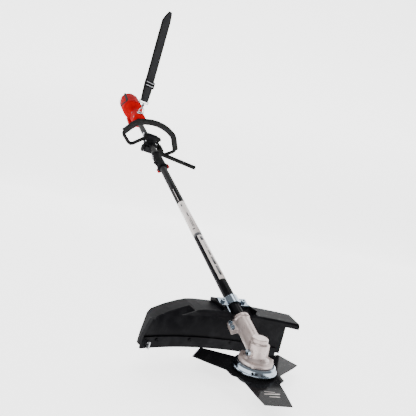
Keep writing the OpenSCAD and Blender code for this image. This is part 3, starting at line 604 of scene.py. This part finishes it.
def swivel():
    """The sling's turned post and the wire loop that holds the band."""
    profile = [[39.3, 6.9], [39.9, 7.5], [43.2, 7.5], [44, 6.6], [44.4, 3.6], [46, 3.2], [49, 3.2]]
    turned("sling_swivel_post", profile, SLING_EYE, WEB_UP, "chrome", "sling")
    corners = [on_sling(x, 0, z) for x, z in ((-23, 48.5), (23, 48.5), (23, 61.2), (-23, 61.2))]
    wire("sling_swivel_loop", rounded(corners, 4), 2.4, "chrome", "sling", closed=True)


swivel()
sling()

# ---- stickers with plain generic marks ------------------------------------------------------

TUBE_R = 13
FILM_GAP = 0.02


def round_shaft(s, turn, radius):
    """Point by its place along the shaft, its angle in degrees from the top to the right, and its radius."""
    return on_shaft(s, radius * math.sin(math.radians(turn)), radius * math.cos(math.radians(turn)))


def film(name, start, end, side_a, side_b, look, proud=0.12, steps=24):
    """Thin printed film on the tube, from start to end along it and between two angles from the top."""
    angles = [side_a + (side_b - side_a) * k / steps for k in range(steps + 1)]
    rings = []
    for s in (start, end):
        outer = [round_shaft(s, turn, TUBE_R + proud) for turn in angles]
        inner = [round_shaft(s, turn, TUBE_R + FILM_GAP) for turn in angles]
        rings.append(outer + inner[::-1])
    return swept(name, rings, look, "boom")


film("sticker_low", 212, 404, -46, 50, "film")
film("sticker_break", 404, 417, -56, 104, "ink", 0.16)
film("sticker_high", 417, 600, -60, 110, "film")
film("sticker_line", 606, 690, 52, 58, "film")
# Plain bars: from and to along the shaft in mm, then from and to round it in degrees.
STICKER_MARKS = (
    (226, 262, -4, 22), (268, 300, -4, 22), (308, 330, 0, 18), (338, 372, 6, 12),
    (378, 396, -6, 30), (436, 442, 30, 64), (448, 500, 20, 28), (448, 488, 36, 44),
    (506, 528, 24, 40), (570, 584, 44, 60),
)
for index, (start, end, side_a, side_b) in enumerate(STICKER_MARKS):
    film(f"sticker_mark_{index}", start, end, side_a, side_b, "ink", 0.2, 6)

BLADE_MARKS = (
    ((-77.3, 25), (-82.4, 5), 1.6),
    ((-85, 31), (-89.6, -1), 3.4),
    ((-94.3, 26), (-98, 5), 2.4),
)
MARK_LOW = 0.81
MARK_HIGH = 0.88


def blade_marks():
    """Plain pale bars printed on one arm of the blade."""
    for index, (start, end, wide) in enumerate(BLADE_MARKS):
        a = Vector(start)
        b = Vector(end)
        side = Vector((b.y - a.y, a.x - b.x)).normalized() * wide / 2
        outline = [a - side, b - side, b + side, a + side]
        rings = [[on_blade(c.x, c.y, z) for c in outline] for z in (MARK_LOW, MARK_HIGH)]
        swept(f"blade_mark_{index}", rings, "film", "blade_group")


blade_marks()


# ---- bands on the motor barrel and bars on the buckle ---------------------------------------

BARREL_R = 52
# The band's middle line: place along the shaft in mm, and degrees from the top.
BAND_CORNERS = (
    (1784, 40), (1740, 42), (1690, 44), (1656, 47), (1646, 53),
    (1650, 62), (1668, 80), (1690, 98), (1704, 108),
)
# The band's section: off its middle line, and from the barrel's axis, in mm.
BAND_SECTION = (
    (-6, 51), (-6, 52.9), (-5, 53.5), (0, 53.6), (5, 53.5), (6, 52.9), (6, 51), (0, 51),
)


def flank_band(name, side, *stands_for):
    """Bent dark band laid on the barrel's skin: side is 1 for the right and -1 for the left."""
    line = []
    for (s0, a0), (s1, a1) in zip(BAND_CORNERS, BAND_CORNERS[1:]):
        line += [(s0 + (s1 - s0) * k / 4, a0 + (a1 - a0) * k / 4) for k in range(4)]
    line.append(BAND_CORNERS[-1])
    rings = []
    for i, (s, turn) in enumerate(line):
        before = line[max(0, i - 1)]
        after = line[min(len(line) - 1, i + 1)]
        ahead = Vector((after[0] - before[0], BARREL_R * math.radians(after[1] - before[1]))).normalized()
        across = Vector((-ahead.y, ahead.x))
        ring = []
        for off, radius in BAND_SECTION:
            round_to = side * (turn + math.degrees(across.y * off / BARREL_R))
            ring.append(round_shaft(s + across.x * off, round_to, radius))
        rings.append(ring if side > 0 else ring[::-1])
    return swept(name, rings, "band", "power_head", *stands_for)


flank_band("flank_band_right", 1, "side_bands")
flank_band("flank_band_left", -1)


def buckle_bars():
    """Two pale cross bars on the slide buckle, over the webbing."""
    for index, z in enumerate((136.5, 151.5)):
        ends = [on_sling(x, -14.2, z) for x in (-19, -10, 0, 10, 19)]
        wire(f"buckle_bar_{index}", ends, 1.7, "bright", "sling_buckle")


buckle_bars()

# ---- mouldings and castings -----------------------------------------------------------------

soft_skin("housing_skin", ["housing_left", "housing_right"], "red", "power_head", 1.4, 7, 0.5)
soft_skin("gear_head_skin", ["gear_case"], "cast", "boom", 0.9, 6, 0.6)

# ---- camera, light and floor ----------------------------------------------------------------

LENS = 33.54
VIEW_HEADING = -116.265
VIEW_HEIGHT = 2.536
VIEW_ROLL = 11.584
VIEW_EYE = BLADE_CENTRE + Vector((-0.6246, 0.4829, 0.3393))

# The backdrop sheet, in metres.
SHEET_DROP = 0.004    # how far it lies under the machine's lowest point
SHEET_FLAT = 3.2    # flat stretch behind the blade
SHEET_BEND = 1.6    # radius of the curve
SHEET_REACH = 7.0    # how far it runs forward, and how high it rises
SHEET_HALF = 9    # half its width
BEND_STEPS = 16


def camera():
    heading = math.radians(VIEW_HEADING)
    height = math.radians(VIEW_HEIGHT)
    roll = math.radians(VIEW_ROLL)
    back = Vector((
        math.sin(heading) * math.cos(height),
        -math.cos(heading) * math.cos(height),
        math.sin(height),
    ))
    level = Vector((0, 0, 1)).cross(back).normalized()
    upright = back.cross(level)
    across = level * math.cos(roll) + upright * math.sin(roll)
    upward = upright * math.cos(roll) - level * math.sin(roll)
    data = bpy.data.cameras.new("camera")
    data.lens = LENS
    data.clip_start = 0.02
    eye = bpy.data.objects.new("camera", data)
    eye.matrix_world = Matrix((across, upward, back)).transposed().to_4x4()
    eye.location = VIEW_EYE
    bpy.context.scene.collection.objects.link(eye)
    bpy.context.scene.camera = eye


def backdrop():
    """Pale sheet that lies under the machine and rises behind it in one curve."""
    ahead = Vector((-math.sin(math.radians(VIEW_HEADING)), math.cos(math.radians(VIEW_HEADING)), 0))
    across = Vector((-ahead.y, ahead.x, 0))
    level = CAD_BOX[0][2] - SHEET_DROP
    start = Vector((BLADE_CENTRE.x, BLADE_CENTRE.y, level))
    profile = [(-SHEET_REACH, 0.0), (-1.0, 0.0), (SHEET_FLAT, 0.0)]
    for k in range(1, BEND_STEPS + 1):
        turn = math.pi / 2 * k / BEND_STEPS
        profile.append((SHEET_FLAT + SHEET_BEND * math.sin(turn), SHEET_BEND * (1 - math.cos(turn))))
    profile.append((SHEET_FLAT + SHEET_BEND, SHEET_REACH))
    points = []
    for out, up in profile:
        for side in (-SHEET_HALF, SHEET_HALF):
            points.append(start + ahead * out + across * side + Vector((0, 0, up)))
    faces = [(2 * k, 2 * k + 1, 2 * k + 3, 2 * k + 2) for k in range(len(profile) - 1)]
    mesh = bpy.data.meshes.new("backdrop")
    mesh.from_pydata(points, [], faces)
    smooth(mesh)
    sheet = bpy.data.objects.new("backdrop", mesh)
    bpy.context.scene.collection.objects.link(sheet)
    look = Look("paper", (0.92, 0.92, 0.92), 0.9, Emission_Color=(1, 1, 1, 1), Emission_Strength=2.4)
    look.tint(look.noise(3, 2), (0.9, 0.9, 0.9), 0.3, 0.8)
    mesh.materials.append(look.material)


def area_light(name, place, target, size, power):
    data = bpy.data.lights.new(name, "AREA")
    data.shape = "RECTANGLE"
    data.size, data.size_y = size
    data.energy = power
    lamp = bpy.data.objects.new(name, data)
    lamp.location = place
    lamp.rotation_euler = (Vector(target) - Vector(place)).to_track_quat("-Z", "Y").to_euler()
    bpy.context.scene.collection.objects.link(lamp)


def lights():
    world = bpy.data.worlds.new("studio")
    world.use_nodes = True
    world.node_tree.nodes["Background"].inputs["Color"].default_value = (1, 1, 1, 1)
    world.node_tree.nodes["Background"].inputs["Strength"].default_value = 0.45
    bpy.context.scene.world = world
    aim = BLADE_CENTRE + Vector((0.7, 0, 0.35))
    area_light("key", aim + Vector((-2.2, 2.4, 3.0)), aim, (1.6, 1.6), 90)
    area_light("top", aim + Vector((0.2, -0.6, 3.6)), aim, (2.4, 1.2), 40)


camera()
backdrop()
lights()
